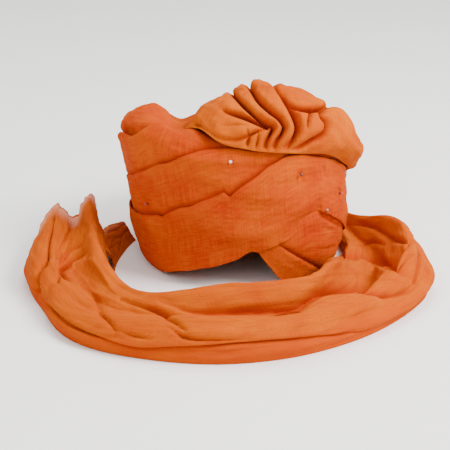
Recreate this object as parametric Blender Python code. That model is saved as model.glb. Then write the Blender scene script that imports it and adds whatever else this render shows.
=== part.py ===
# Tied turban of cotton muslin, ready wound, standing on its rim on a flat surface.
# Metres, +Z up. The origin is the middle of the head opening at the foot, and the forehead faces -Y.
# Around the turban, angles run from 0 at the forehead (-Y) towards +X.
# Up the turban, height steps run from 0 at the foot to 1 at the shoulder and 2 at the middle of the crown.

import bpy
import bmesh
import numpy as np
from math import radians

# Driving dimensions
HALF_WIDTH = 0.101            # wound core, middle to side
HALF_DEPTH = 0.120            # wound core, middle to forehead
WALL_HEIGHT = 0.150           # foot to shoulder
HEAD_HALF_WIDTH = 0.080       # head opening, middle to side
HEAD_HALF_DEPTH = 0.099       # head opening, middle to forehead
HEAD_DEPTH = 0.128            # foot to the top of the hollow
CLOTH = 0.0020                # one visible turn, a few layers of muslin pressed together
TURN_GAP = 0.0009             # air between one turn and the next
CREST_HEIGHT = 0.042          # crest above the shoulder it sits on
PLEAT_GAP = 0.0009            # air between neighbouring pleats
TAIL_CLOTH = 0.0020           # the free end, muslin folded double
TAIL_HALF_WIDTH = 0.036       # free end, middle to edge as it lies
TAIL_HEIGHT = 0.046           # free end, surface to the top of its folds
FLOOR_GAP = 0.0003            # free end above the surface it lies on
TOUCH_GAP = 0.0004            # free end beside the wall that it is sewn to
PIN_RADIUS = 0.0019           # head of a dressmaker's pin
PIN_GAP = 0.0003              # pin head above the cloth
CORNER_SQUARENESS = 2.25      # 2 is an ellipse, more fills the corners

TURN = CLOTH + TURN_GAP
TURNS = 4                     # visible turns one over the other at the foot

# Profile of the wound core: height step, half size as a share of the half width or depth,
# height as a share of the wall height, sideways lean as a share of the half width
PROFILE = [
    (0.00, 0.880, 0.000, -0.030),
    (0.07, 0.930, 0.070, -0.030),
    (0.17, 0.965, 0.170, -0.030),
    (0.30, 0.985, 0.300, -0.030),
    (0.45, 1.000, 0.450, -0.045),
    (0.60, 1.000, 0.600, -0.070),
    (0.72, 1.005, 0.720, -0.090),
    (0.82, 1.020, 0.815, -0.115),
    (0.90, 1.030, 0.890, -0.140),
    (0.96, 1.010, 0.945, -0.150),
    (1.02, 0.950, 0.985, -0.155),
    (1.09, 0.860, 1.012, -0.155),
    (1.20, 0.730, 1.025, -0.150),
    (1.35, 0.560, 1.025, -0.150),
    (1.60, 0.320, 0.985, -0.150),
    (2.00, 0.000, 0.955, -0.150),
]
# The crown slopes down to the back: degrees round, drop as a share of the wall height
CROWN_DROP = [
    (-180, 0.250), (-160, 0.350), (-145, 0.320), (-125, 0.190), (-105, 0.040), (-90, 0.0), (-60, 0.0), (60, 0.0),
    (100, 0.020), (135, 0.120), (165, 0.200), (180, 0.250),
]
# How much of that drop reaches each height step
DROP_REACH = [(0.00, 0.0), (0.30, 0.15), (0.60, 0.45), (0.90, 0.90), (1.02, 1.0), (1.20, 0.82), (1.60, 0.35), (2.00, 0.0)]
# Direction in which turns pile up: height step, degrees above level
PILE_UP = [(0.00, 0), (0.82, 0), (0.90, 14), (0.96, 34), (1.02, 56), (1.09, 75), (1.20, 88), (2.00, 90)]

# Hollow for the head: height share of HEAD_DEPTH, half size as a share of the head's half size
HOLLOW = [(0.00, 1.00), (0.40, 1.00), (0.70, 0.97), (0.86, 0.84), (0.96, 0.55), (1.00, 0.00)]

# Edges of the turns: degrees round, height step
FOOT_EDGE = [
    (-180, 0), (-90, 0.0), (-66, 0.0), (-56, 0.01), (-44, 0.06), (-36, 0.095), (-27, 0.135), (-18, 0.180),
    (-9, 0.230), (1, 0.275), (5, 0.205), (9, 0.14), (14, 0.06), (19, 0.0), (180, 0),
]
FRONT_WRAP_LOW = [
    (-180, 0), (-90, 0.0), (-66, 0.0), (-56, 0.01), (-44, 0.06), (-36, 0.095), (-27, 0.135), (-18, 0.180),
    (-9, 0.230), (1, 0.275), (12, 0.33), (22, 0.385), (30, 0.45), (36, 0.485), (48, 0.40), (62, 0.28),
    (78, 0.12), (92, 0.0), (180, 0),
]
FRONT_WRAP_TOP = [
    (-180, 0.42), (-130, 0.38), (-97, 0.37), (-77, 0.40), (-62, 0.43), (-48, 0.475), (-32, 0.58), (-20, 0.665),
    (-11, 0.71), (-2, 0.80), (8, 0.865), (15, 0.885), (30, 0.87), (48, 0.80), (62, 0.72), (90, 0.60),
    (130, 0.48), (180, 0.42),
]
MIDDLE_WRAP_TOP = [
    (-180, 0.74), (-140, 0.62), (-97, 0.53), (-80, 0.60), (-64, 0.69), (-46, 0.80), (-32, 0.87), (-24, 0.905),
    (-10, 0.935), (6, 0.915), (30, 0.90), (60, 0.86), (100, 0.80), (140, 0.77), (180, 0.74),
]
UPPER_WRAP_TOP = [
    (-180, 0.93), (-140, 0.86), (-100, 0.83), (-80, 0.88), (-67, 0.95), (-60, 1.00), (-52, 1.08), (-42, 1.12),
    (-30, 1.10), (-22, 1.06), (-14, 1.00), (0, 0.975), (60, 0.975), (110, 0.96), (180, 0.93),
]
CROWN_WRAP_TOP = [(-180, 1.28), (-90, 1.34), (0, 1.34), (90, 1.30), (180, 1.28)]
TURN_LAP = 0.16               # how far a turn runs down behind the next one, in height steps
LOBE_WRAP_TOP = [(-3, 0.36), (10, 0.42), (30, 0.56), (60, 0.50), (84, 0.34)]
LOW_WRAP_TOP = [(-3, 0.34), (12, 0.345), (19, 0.255), (25, 0.20), (36, 0.10), (46, 0.045)]

# Pleats of the crest: name, degrees round of its two edges at the bend, height share,
# dip share at its two edges, share of the bend that its two edges take, segments across
CREST_PLEATS = [
    ("crest_flap", -33, 5, 0.80, 1.00, 0.20, 0.2, 1.0, 6),
    ("crest_pleat_1", 5, 13, 0.92, 0.30, 0.26, 1.0, 1.0, 4),
    ("crest_pleat_2", 13, 19, 1.00, 0.30, 0.26, 1.0, 1.0, 3),
    ("crest_pleat_3", 19, 26, 1.00, 0.28, 0.26, 1.0, 0.9, 4),
    ("crest_fold", 26, 40, 0.94, 0.30, 0.26, 0.9, 0.6, 5),
    ("crest_roll", 40, 98, 0.92, 0.22, 1.00, 0.6, 0.0, 8),
]
# Sections of the crest from its front edge to its back edge: share of the way, height share,
# turn of the pleats in degrees (they bend into an arrow)
CREST_SECTIONS = [
    (0.00, 0.12, -8.0),
    (0.08, 0.42, -6.0),
    (0.18, 0.70, -3.0),
    (0.30, 0.88, 0.0),
    (0.46, 1.00, -7.0),
    (0.64, 0.98, -14.0),
    (0.82, 0.76, -19.0),
    (0.94, 0.42, -21.0),
    (1.00, 0.12, -22.0),
]
CREST_FRONT = [
    (-52, 1.12), (-37, 1.10), (-24, 1.05), (-12, 0.965), (2, 0.93), (22, 0.90), (40, 0.86), (62, 0.72),
    (80, 0.60), (98, 0.58),
]
CREST_BACK = [(-52, 1.24), (-33, 1.30), (-10, 1.50), (20, 1.54), (44, 1.38), (62, 1.12), (80, 0.98), (98, 0.86)]
# Height of the crest along it: degrees round, share
CREST_RISE = [
    (-52, 0.20), (-37, 0.35), (-20, 0.56), (-5, 0.74), (8, 0.90), (24, 0.98), (40, 0.80), (60, 0.58),
    (80, 0.42), (98, 0.20),
]
# What the crest rests on: height step, turns below it
CREST_SEAT = [(0.70, 4), (0.985, 4), (1.06, 2), (1.13, 2), (1.20, 1), (2.00, 1)]

# Route of the free end from its sewn root at the back, over the right side and the front, to its loose end
# on the left: degrees round, distance from the wall to its inner edge as a share of the half width,
# half width share, height share, depth of the valley between its two folds (share), inward slope share
TAIL_ROUTE = [
    (166, 0.00, 0.10, 0.26, 0.10, 0.0),
    (147, 0.00, 0.19, 0.57, 0.12, 0.0),
    (124, 0.01, 0.22, 0.58, 0.15, 0.0),
    (103, 0.02, 0.25, 0.54, 0.25, 0.3),
    (84, 0.02, 0.46, 0.76, 0.50, 0.7),
    (70, 0.02, 0.98, 1.06, 0.66, 0.9),
    (57, 0.03, 1.19, 1.02, 0.72, 1.0),
    (43, 0.13, 1.26, 0.96, 0.66, 0.9),
    (30, 0.40, 1.03, 0.86, 0.50, 0.4),
    (15, 0.69, 0.87, 0.98, 0.42, 0.0),
    (1, 0.75, 1.03, 1.00, 0.46, 0.0),
    (-12, 0.79, 1.10, 0.98, 0.46, 0.0),
    (-25, 0.84, 1.08, 0.80, 0.34, 0.0),
    (-38, 0.76, 1.14, 0.68, 0.22, 0.0),
    (-52, 0.60, 1.03, 0.76, 0.20, 0.0),
    (-67, 0.42, 1.10, 0.94, 0.20, 0.0),
    (-81, 0.33, 0.98, 1.02, 0.14, 0.0),
    (-94, 0.35, 0.88, 1.04, 0.10, 0.0),
    (-106, 0.38, 0.80, 1.02, 0.06, 0.0),
]
TAIL_WALL_STEP = 0.145        # height step of the wall that the free end lies beside
# Folds across the free end from its inner edge to its outer edge: place across as a share of the half width,
# height share, share of the height that the valley takes away, end of the cloth as a share of the route
TAIL_FOLDS = [
    (-0.92, 0.00, 0.0, 0.930),
    (-1.00, 0.34, 0.0, 0.950),
    (-0.94, 0.74, 0.0, 1.000),
    (-0.72, 1.00, 0.0, 0.990),
    (-0.40, 0.88, 0.5, 0.945),
    (-0.10, 0.78, 1.0, 0.965),
    (0.16, 0.88, 0.5, 0.935),
    (0.46, 0.88, 0.0, 0.955),
    (0.76, 0.66, 0.0, 0.915),
    (0.98, 0.38, 0.0, 0.940),
    (0.94, 0.14, 0.0, 0.900),
    (0.98, 0.00, 0.0, 0.920),
]
TAIL_STATIONS = 52
INNER_SLOPE = 0.62            # how far the inner folds drop where the free end lies open, a share
# Second corner of the free end, from under it to the left foot: degrees round, distance from the foot
# to its inner edge as a share of the half width, half width share, height share
CORNER_ROUTE = [
    (-67, 0.34, 0.06, 0.40),
    (-75, 0.21, 0.18, 0.48),
    (-84, 0.10, 0.28, 0.50),
    (-94, 0.02, 0.28, 0.40),
    (-103, 0.00, 0.22, 0.30),
]
CORNER_WALL_STEP = 0.006      # it tucks in under the flare of the wall
# Folds across the second corner: place across as a share of its half width, height share
CORNER_FOLDS = [(-1.0, 0.0), (-0.45, 0.30), (0.1, 0.70), (0.6, 1.0), (1.0, 0.86)]
CORNER_STATIONS = 9

# Pins: degrees round, height step, turns of cloth under the head
PINS = [
    ("pin_1", -6.5, 0.88, 3),
    ("pin_2", -55.0, 0.53, 3),
    ("pin_3", 26.0, 0.78, 4),
    ("pin_4", 54.0, 0.57, 4),
    ("pin_5", 40.0, 0.51, 4),
    ("pin_6", 61.0, 0.67, 4),
]

# Columns of the wound turns, degrees round: close together at the forehead
COLUMNS = list(range(-180, -66, 12)) + list(range(-66, 66, 6)) + list(range(66, 180, 12))
ROWS = [row[0] for row in PROFILE]

COLOURS = {
    "cloth": (0.89, 0.26, 0.02, 1.0),
    "core": (0.80, 0.20, 0.02, 1.0),
    "crest": (0.95, 0.32, 0.03, 1.0),
    "tail": (0.96, 0.30, 0.03, 1.0),
    "pin": (0.75, 0.20, 0.15, 1.0),
}


def smooth(x, table, column=1):
    """Value of a table's column at x, on a cubic through its rows with slopes from the neighbours."""
    keys = np.array([row[0] for row in table], dtype=float)
    values = np.array([row[column] for row in table], dtype=float)
    slopes = np.gradient(values, keys)
    x = np.clip(np.asarray(x, dtype=float), keys[0], keys[-1])
    i = np.clip(np.searchsorted(keys, x, side="right") - 1, 0, len(keys) - 2)
    step = keys[i + 1] - keys[i]
    t = (x - keys[i]) / step
    return ((1 + 2 * t) * (1 - t) ** 2 * values[i] + t * (1 - t) ** 2 * step * slopes[i]
            + t * t * (3 - 2 * t) * values[i + 1] + t * t * (t - 1) * step * slopes[i + 1])


def straight(x, table, column=1):
    """Value of a table's column at x, on straight lines between its rows."""
    return np.interp(x, [row[0] for row in table], [row[column] for row in table])


def outline(degrees):
    """Half sizes of a rounded box round the turban, as shares of its half width and half depth."""
    sine = np.sin(np.radians(degrees))
    cosine = np.cos(np.radians(degrees))
    power = CORNER_SQUARENESS
    reach = (np.abs(sine) ** power + np.abs(cosine) ** power) ** (-1.0 / power)
    return sine * reach, -cosine * reach


def turban_point(degrees, step, offset):
    """Point of the turban's surface at an angle and a height step, pushed out by an offset."""
    sine, cosine = outline(degrees)
    pile = np.radians(straight(step, PILE_UP))
    size = straight(step, PROFILE, 1)
    out = np.asarray(offset) * np.cos(pile)
    x = sine * (HALF_WIDTH * size + out) + HALF_WIDTH * straight(step, PROFILE, 3)
    y = cosine * (HALF_DEPTH * size + out)
    drop = straight(degrees, CROWN_DROP) * straight(step, DROP_REACH)
    z = WALL_HEIGHT * (straight(step, PROFILE, 2) - drop) + np.asarray(offset) * np.sin(pile)
    return np.stack(np.broadcast_arrays(x, y, z), axis=-1)


def material(name):
    """Plain dyed cotton, or a pin's enamel, in the colour of the piece."""
    made = bpy.data.materials.get(name)
    if made is None:
        made = bpy.data.materials.new(name)
        made.use_nodes = True
        shader = made.node_tree.nodes["Principled BSDF"]
        shader.inputs["Base Color"].default_value = COLOURS[name]
        shader.inputs["Roughness"].default_value = 0.35 if name == "pin" else 0.85
        shader.inputs["Metallic"].default_value = 0.0
    return made


def add_piece(name, points, faces, colour):
    """One closed solid as an object: doubled points merged, faces outward, triangles only."""
    mesh = bpy.data.meshes.new(name)
    mesh.from_pydata([tuple(p) for p in points], [], faces)
    body = bmesh.new()
    body.from_mesh(mesh)
    bmesh.ops.remove_doubles(body, verts=body.verts, dist=0.00002)
    bmesh.ops.dissolve_degenerate(body, edges=body.edges, dist=0.000001)
    bmesh.ops.triangulate(body, faces=body.faces)
    bmesh.ops.recalc_face_normals(body, faces=body.faces)
    body.to_mesh(mesh)
    body.free()
    mesh.materials.append(material(colour))
    mesh.shade_smooth()
    mesh.set_sharp_from_angle(angle=radians(40))
    piece = bpy.data.objects.new(name, mesh)
    bpy.context.scene.collection.objects.link(piece)
    return piece


def grid_faces(rows, columns, closed, start, flip):
    """Quads of a grid of points stored row by row, closed round the columns or open."""
    across = columns if closed else columns - 1
    faces = []
    for i in range(rows - 1):
        for j in range(across):
            k = (j + 1) % columns
            quad = (start + i * columns + j, start + i * columns + k,
                    start + (i + 1) * columns + k, start + (i + 1) * columns + j)
            faces.append(quad[::-1] if flip else quad)
    return faces


def add_wall(name, outer, inner, closed, colour):
    """Solid between two grids of the same shape, closed along all its edges."""
    rows, columns = outer.shape[:2]
    count = rows * columns
    points = np.concatenate([outer.reshape(-1, 3), inner.reshape(-1, 3)])
    faces = grid_faces(rows, columns, closed, 0, False) + grid_faces(rows, columns, closed, count, True)
    across = columns if closed else columns - 1
    for j in range(across):
        k = (j + 1) % columns
        top = (rows - 1) * columns
        faces.append((k, j, count + j, count + k))
        faces.append((top + j, top + k, count + top + k, count + top + j))
    if not closed:
        for i in range(rows - 1):
            low = i * columns
            high = (i + 1) * columns
            faces.append((low, high, count + high, count + low))
            low += columns - 1
            high += columns - 1
            faces.append((high, low, count + low, count + high))
    return add_piece(name, points, faces, colour)


def turn_grid(columns, low, top, offset):
    """Grid of points on the turban between two edges, with the shared rows kept inside them."""
    columns = np.array(columns, dtype=float)
    inside = [row for row in ROWS if row > low.min() and row < top.max()]
    steps = np.stack([low] + [np.clip(row, low, top) for row in inside] + [top])
    return turban_point(columns[None, :], steps, offset)


def add_turn(name, columns, low, top, layer, closed):
    """One visible turn of cloth: a wall of CLOTH at its place in the pile of turns."""
    outer = turn_grid(columns, low, top, layer * TURN)
    inner = turn_grid(columns, low, top, layer * TURN - CLOTH)
    return add_wall(name, outer, inner, closed, "cloth")


def add_core():
    """Wound core: the outer profile from the foot to the crown, and the hollow for the head."""
    columns = np.array(COLUMNS, dtype=float)
    foot = straight(columns, FOOT_EDGE)
    steps = np.stack([np.maximum(row, foot) for row in ROWS])
    outer = turban_point(columns[None, :], steps, 0.0)
    sine, cosine = outline(columns)
    foot_height = WALL_HEIGHT * straight(foot, PROFILE, 2)
    rings = []
    for share, size in HOLLOW:
        height = np.maximum(HEAD_DEPTH * share, foot_height)
        rings.append(np.stack([HEAD_HALF_WIDTH * size * sine, HEAD_HALF_DEPTH * size * cosine, height], axis=-1))
    inner = np.stack(rings)
    rows_out = len(outer)
    rows_in = len(inner)
    count = len(columns)
    points = np.concatenate([outer.reshape(-1, 3), inner.reshape(-1, 3)])
    faces = grid_faces(rows_out, count, True, 0, False)
    faces += grid_faces(rows_in, count, True, rows_out * count, True)
    for j in range(count):
        k = (j + 1) % count
        faces.append((k, j, rows_out * count + j, rows_out * count + k))
    return add_piece("wound_core", points, faces, "core")


def add_turns():
    """The visible turns, from the crown down and from the inside out."""
    columns = np.array(COLUMNS, dtype=float)
    foot = straight(columns, FOOT_EDGE)
    front_low = straight(columns, FRONT_WRAP_LOW)
    front_top = straight(columns, FRONT_WRAP_TOP)
    middle_top = straight(columns, MIDDLE_WRAP_TOP)
    upper_top = straight(columns, UPPER_WRAP_TOP)
    crown_top = straight(columns, CROWN_WRAP_TOP)
    add_turn("crown_wrap", columns, upper_top - TURN_LAP, crown_top, 1, True)
    add_turn("upper_wrap", columns, middle_top - TURN_LAP, upper_top, 2, True)
    add_turn("middle_wrap", columns, front_top - TURN_LAP, middle_top, 3, True)
    add_turn("front_wrap", columns, front_low, front_top, 4, True)
    lobe = np.array([c for c in COLUMNS if LOBE_WRAP_TOP[0][0] <= c <= LOBE_WRAP_TOP[-1][0]], dtype=float)
    lobe_foot = straight(lobe, FOOT_EDGE)
    add_turn("right_lobe_wrap", lobe, lobe_foot, straight(lobe, LOBE_WRAP_TOP), 2, False)
    low = np.array([c for c in COLUMNS if LOW_WRAP_TOP[0][0] <= c <= LOW_WRAP_TOP[-1][0]], dtype=float)
    low_foot = straight(low, FOOT_EDGE)
    add_turn("right_low_wrap", low, low_foot, straight(low, LOW_WRAP_TOP), 3, False)


def crest_point(degrees, share, height):
    """Point of the crest: share of the way from its front edge to its back edge, height above its seat."""
    front = straight(degrees, CREST_FRONT)
    back = straight(degrees, CREST_BACK)
    step = front + (back - front) * share
    seat = straight(step, CREST_SEAT) * TURN + TURN_GAP
    return turban_point(degrees, step, seat + height)


def add_crest():
    """The crest: neighbouring pleats that bend into an arrow, from the left flap to the right roll."""
    share = np.array([row[0] for row in CREST_SECTIONS])
    rise = np.array([row[1] for row in CREST_SECTIONS])
    turn = np.array([row[2] for row in CREST_SECTIONS])
    for name, left, right, height, left_dip, right_dip, left_bend, right_bend, segments in CREST_PLEATS:
        phase = np.linspace(0.0, 1.0, segments + 1)
        dip = left_dip * (1 - phase) + right_dip * phase
        arch = 1.0 - dip * (1.0 - np.sin(np.pi * phase) ** 0.7)
        reach = HALF_WIDTH * straight(straight(0.5 * (left + right), CREST_FRONT)
                                      + share * 0.5, PROFILE, 1)
        margin = np.degrees(0.5 * PLEAT_GAP / reach)[:, None]
        bend = left_bend * (1 - phase) + right_bend * phase
        degrees = (left + margin) * (1 - phase) + (right - margin) * phase + turn[:, None] * bend
        tall = CREST_HEIGHT * height * straight(degrees, CREST_RISE) * rise[:, None] * arch[None, :]
        tall = np.maximum(tall, CLOTH)
        outer = crest_point(degrees, share[:, None], tall)
        inner = crest_point(degrees, share[:, None], 0.0)
        add_wall(name, outer, inner, False, "crest")


def route_places(route, share, wall_step):
    """Middle of a piece of the free end on the surface, and its half width, at shares of its route."""
    table = [(i / (len(route) - 1),) + row for i, row in enumerate(route)]
    half = TAIL_HALF_WIDTH * smooth(share, table, 3)
    beside = TURNS * TURN + TOUCH_GAP + HALF_WIDTH * smooth(share, table, 2) + half
    places = turban_point(smooth(share, table, 1), wall_step, beside)
    return table, places[..., 0], places[..., 1], half


def free_end(route, stations, wall_step, places, levels, ends):
    """Middle surface of a piece of the free end: folds carried along its route at their heights."""
    share = np.linspace(0.0, 1.0, stations)[:, None] * np.array(ends)[None, :]
    table, x, y, half = route_places(route, share, wall_step)
    ahead = 0.004
    before = route_places(route, share - ahead, wall_step)
    after = route_places(route, share + ahead, wall_step)
    dx = after[1] - before[1]
    dy = after[2] - before[2]
    length = np.hypot(dx, dy)
    across = half * np.array(places)
    z = FLOOR_GAP + TAIL_HEIGHT * smooth(share, table, 4) * levels(table, share)
    return np.stack([x - dy / length * across, y + dx / length * across, z], axis=-1)


def add_sheet(name, middle):
    """Wall of the free end's cloth either side of a middle surface, kept above the floor."""
    along = np.gradient(middle, axis=0)
    across = np.gradient(middle, axis=1)
    normal = np.cross(across, along)
    normal /= np.linalg.norm(normal, axis=2)[:, :, None]
    outer = middle + 0.5 * TAIL_CLOTH * normal
    inner = middle - 0.5 * TAIL_CLOTH * normal
    outer[..., 2] = np.maximum(outer[..., 2], FLOOR_GAP)
    inner[..., 2] = np.maximum(inner[..., 2], FLOOR_GAP)
    add_wall(name, outer, inner, False, "tail")


def add_tail():
    """The free end: a sheet in two standing folds with a valley between them, laid round the turban."""
    place = np.array([fold[0] for fold in TAIL_FOLDS])
    height = np.array([fold[1] for fold in TAIL_FOLDS])
    taken = np.array([fold[2] for fold in TAIL_FOLDS])
    inward = np.clip(0.5 - 0.9 * place, 0.0, 1.0)

    def levels(table, share):
        valley = 1.0 - taken * smooth(share, table, 5)
        return height * valley * (1.0 - INNER_SLOPE * smooth(share, table, 6) * inward)

    add_sheet("tail", free_end(TAIL_ROUTE, TAIL_STATIONS, TAIL_WALL_STEP, place, levels,
                               [fold[3] for fold in TAIL_FOLDS]))


def add_tail_corner():
    """The second corner of the free end: a narrow sheet that leans away from the left foot."""
    level = np.array([fold[1] for fold in CORNER_FOLDS])
    add_sheet("tail_corner", free_end(CORNER_ROUTE, CORNER_STATIONS, CORNER_WALL_STEP,
                                      [fold[0] for fold in CORNER_FOLDS],
                                      lambda table, share: level, [1.0] * len(CORNER_FOLDS)))


def add_pins():
    """Round pin heads, each a small ball just off the cloth that its pin holds."""
    for name, degrees, step, layer in PINS:
        centre = turban_point(degrees, step, layer * TURN + PIN_GAP + PIN_RADIUS)
        mesh = bpy.data.meshes.new(name)
        ball = bmesh.new()
        bmesh.ops.create_icosphere(ball, subdivisions=1, radius=PIN_RADIUS)
        ball.to_mesh(mesh)
        ball.free()
        mesh.materials.append(material("pin"))
        mesh.shade_smooth()
        pin = bpy.data.objects.new(name, mesh)
        pin.location = centre
        bpy.context.scene.collection.objects.link(pin)


for old in list(bpy.data.objects):
    bpy.data.objects.remove(old)
add_core()
add_turns()
add_crest()
add_tail()
add_tail_corner()
add_pins()
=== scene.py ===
# Tied turban of orange dyed cotton muslin, ready wound, standing on its rim with its free end laid round it.
# The pieces follow the order in which it is tied: wound core, turns, crest of pleats, free end, pins.
# Metres, +Z up. Round the turban, angles run from 0 at the forehead (-Y) towards +X.
# Up the turban, height steps run from 0 at the foot to 1 at the shoulder and 2 at the middle of the crown.
import bpy
import numpy as np
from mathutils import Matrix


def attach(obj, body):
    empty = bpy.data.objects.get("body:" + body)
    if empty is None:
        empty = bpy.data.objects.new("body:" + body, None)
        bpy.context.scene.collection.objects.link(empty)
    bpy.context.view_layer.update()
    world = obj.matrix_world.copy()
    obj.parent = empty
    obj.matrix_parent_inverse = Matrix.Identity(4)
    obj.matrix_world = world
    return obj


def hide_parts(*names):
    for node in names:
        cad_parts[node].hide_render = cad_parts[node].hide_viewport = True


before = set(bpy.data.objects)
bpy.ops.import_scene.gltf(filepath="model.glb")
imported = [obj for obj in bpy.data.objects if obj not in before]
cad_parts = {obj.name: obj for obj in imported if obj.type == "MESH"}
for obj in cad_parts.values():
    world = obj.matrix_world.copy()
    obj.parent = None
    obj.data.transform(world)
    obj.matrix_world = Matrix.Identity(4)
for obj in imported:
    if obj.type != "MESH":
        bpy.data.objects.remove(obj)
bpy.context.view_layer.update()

# Camera: the photograph's view, 20 degrees up and 7 degrees round, from 1.4 m.
CAMERA_AZIMUTH = np.radians(-7.0)
CAMERA_ELEVATION = np.radians(20.0)
CAMERA_DISTANCE = 1.40
CAMERA_LENS = 106.67          # mm, on a sensor 36 mm wide
CAMERA_TARGET = (-0.0156, 0.0045, 0.0207)
away = np.array([np.sin(CAMERA_AZIMUTH) * np.cos(CAMERA_ELEVATION),
                 -np.cos(CAMERA_AZIMUTH) * np.cos(CAMERA_ELEVATION),
                 np.sin(CAMERA_ELEVATION)])
camera_data = bpy.data.cameras.new("camera")
camera_data.lens = CAMERA_LENS
camera_data.sensor_width = 36.0
camera_data.clip_end = 20.0
camera = bpy.data.objects.new("camera", camera_data)
camera.location = np.array(CAMERA_TARGET) + CAMERA_DISTANCE * away
camera.rotation_euler = (np.pi / 2 - CAMERA_ELEVATION, 0.0, CAMERA_AZIMUTH)
bpy.context.scene.collection.objects.link(camera)
bpy.context.scene.camera = camera

# Floor: a wide pale sweep of matt paper.
FLOOR_HALF = 12.0
floor_mesh = bpy.data.meshes.new("floor")
floor_mesh.from_pydata([(-FLOOR_HALF, -FLOOR_HALF, 0.0), (FLOOR_HALF, -FLOOR_HALF, 0.0),
                        (FLOOR_HALF, FLOOR_HALF, 0.0), (-FLOOR_HALF, FLOOR_HALF, 0.0)], [], [(0, 1, 2, 3)])
floor = bpy.data.objects.new("floor", floor_mesh)
bpy.context.scene.collection.objects.link(floor)
paper = bpy.data.materials.new("paper")
paper.use_nodes = True
paper.node_tree.nodes["Principled BSDF"].inputs["Base Color"].default_value = (0.90, 0.895, 0.885, 1.0)
paper.node_tree.nodes["Principled BSDF"].inputs["Roughness"].default_value = 0.9
paper.node_tree.nodes["Principled BSDF"].inputs["Specular IOR Level"].default_value = 0.1
floor_mesh.materials.append(paper)

# Lights: a large soft key from the upper right, a weaker fill from the left, and a white room.
LIGHT_AIM = (0.0, -0.05, 0.08)
# Name, place, side of the square, watts, tint
LIGHTS = [
    ("key", (0.95, -0.75, 1.25), 0.75, 54.0, (1.0, 0.97, 0.93)),
    ("fill", (-1.10, -1.20, 0.80), 1.20, 9.0, (1.0, 0.98, 0.97)),
    ("top", (0.10, 0.50, 1.60), 1.00, 15.0, (1.0, 0.99, 0.98)),
]
for name, place, side, watts, tint in LIGHTS:
    lamp_data = bpy.data.lights.new(name, "AREA")
    lamp_data.size = side
    lamp_data.energy = watts
    lamp_data.color = tint
    lamp = bpy.data.objects.new(name, lamp_data)
    lamp.location = place
    towards = np.array(LIGHT_AIM) - np.array(place)
    flat_reach = np.hypot(towards[0], towards[1])
    lamp.rotation_euler = (np.arctan2(flat_reach, -towards[2]), 0.0, np.arctan2(-towards[0], towards[1]))
    bpy.context.scene.collection.objects.link(lamp)
room = bpy.data.worlds.new("room")
room.use_nodes = True
room.node_tree.nodes["Background"].inputs["Color"].default_value = (1.0, 0.995, 0.99, 1.0)
room.node_tree.nodes["Background"].inputs["Strength"].default_value = 1.25
bpy.context.scene.world = room

# Wound core: the many inner turns of cotton muslin, pressed together by the turns that are wound over them.
# It shows only in the hollow for the head and at the middle of the crown.
HALF_WIDTH = 0.101            # middle to side
HALF_DEPTH = 0.120            # middle to forehead
WALL_HEIGHT = 0.150           # foot to shoulder
HEAD_HALF_WIDTH = 0.080
HEAD_HALF_DEPTH = 0.099
HEAD_DEPTH = 0.128            # foot to the top of the hollow
CORNER_SQUARENESS = 2.25      # 2 is an ellipse, more fills the corners
TURN = 0.0029                 # one visible turn and the air behind it
STEP_LENGTH = 0.150           # one height step along the surface
DEGREE_LENGTH = 0.00195       # one degree round the turban along the surface
# Profile: height step, then shares: half size, height, and sideways lean of the half width
PROFILE = [
    (0.00, 0.880, 0.000, -0.030), (0.07, 0.930, 0.070, -0.030), (0.17, 0.965, 0.170, -0.030),
    (0.30, 0.988, 0.300, -0.032), (0.45, 1.010, 0.450, -0.055), (0.60, 1.017, 0.600, -0.088),
    (0.72, 1.024, 0.720, -0.110), (0.82, 1.032, 0.815, -0.128), (0.90, 1.036, 0.890, -0.147),
    (0.96, 1.010, 0.945, -0.150), (1.02, 0.950, 0.985, -0.155), (1.09, 0.860, 1.012, -0.155),
    (1.20, 0.730, 1.025, -0.150), (1.35, 0.560, 1.025, -0.150), (1.60, 0.320, 0.985, -0.150),
    (2.00, 0.000, 0.955, -0.150),
]
# The crown slopes down to the back: degrees round, drop as a share of the wall height
CROWN_DROP = [
    (-180, 0.250), (-160, 0.350), (-145, 0.320), (-125, 0.205), (-105, 0.068), (-90, 0.024), (-75, 0.004),
    (-60, 0.0), (60, 0.0), (100, 0.020), (135, 0.120), (165, 0.200), (180, 0.250),
]
# Share of that drop at each height step
DROP_REACH = [
    (0.00, 0.0), (0.30, 0.15), (0.60, 0.45), (0.90, 0.90), (1.02, 1.0), (1.20, 0.82), (1.60, 0.35),
    (2.00, 0.0),
]
# Direction in which turns pile up: height step, degrees above level
PILE_UP = [(0.00, 0), (0.82, 0), (0.90, 14), (0.96, 34), (1.02, 56), (1.09, 75), (1.20, 88), (2.00, 90)]
# Valley over the crown, behind the hump at its left: sideways place, lean to the back, half width and depth
VALLEY_PLACE = -0.0632
VALLEY_LEAN = 0.123
VALLEY_WIDTH = 0.0155
VALLEY_DEPTH = 0.0115
# Hollow for the head: share of its depth, share of its half size
HOLLOW = [(0.00, 1.00), (0.40, 1.00), (0.70, 0.97), (0.86, 0.84), (0.96, 0.55), (1.00, 0.00)]
# Edge of the foot, which rises into a notch over the forehead: degrees round, height step
FOOT_EDGE = [
    (-180, 0), (-90, 0.0), (-66, 0.0), (-56, 0.01), (-44, 0.06), (-36, 0.095), (-27, 0.135), (-18, 0.180),
    (-9, 0.230), (1, 0.275), (5, 0.205), (9, 0.14), (14, 0.06), (19, 0.0), (180, 0),
]
COLUMNS = 480
CORE_ROWS = 90
RIM_ROWS = 24
HOLLOW_ROWS = 60
RIM_LAYERS = 9.0              # edges of inner turns that show round the rim
RIM_RELIEF = 0.0011


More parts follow.
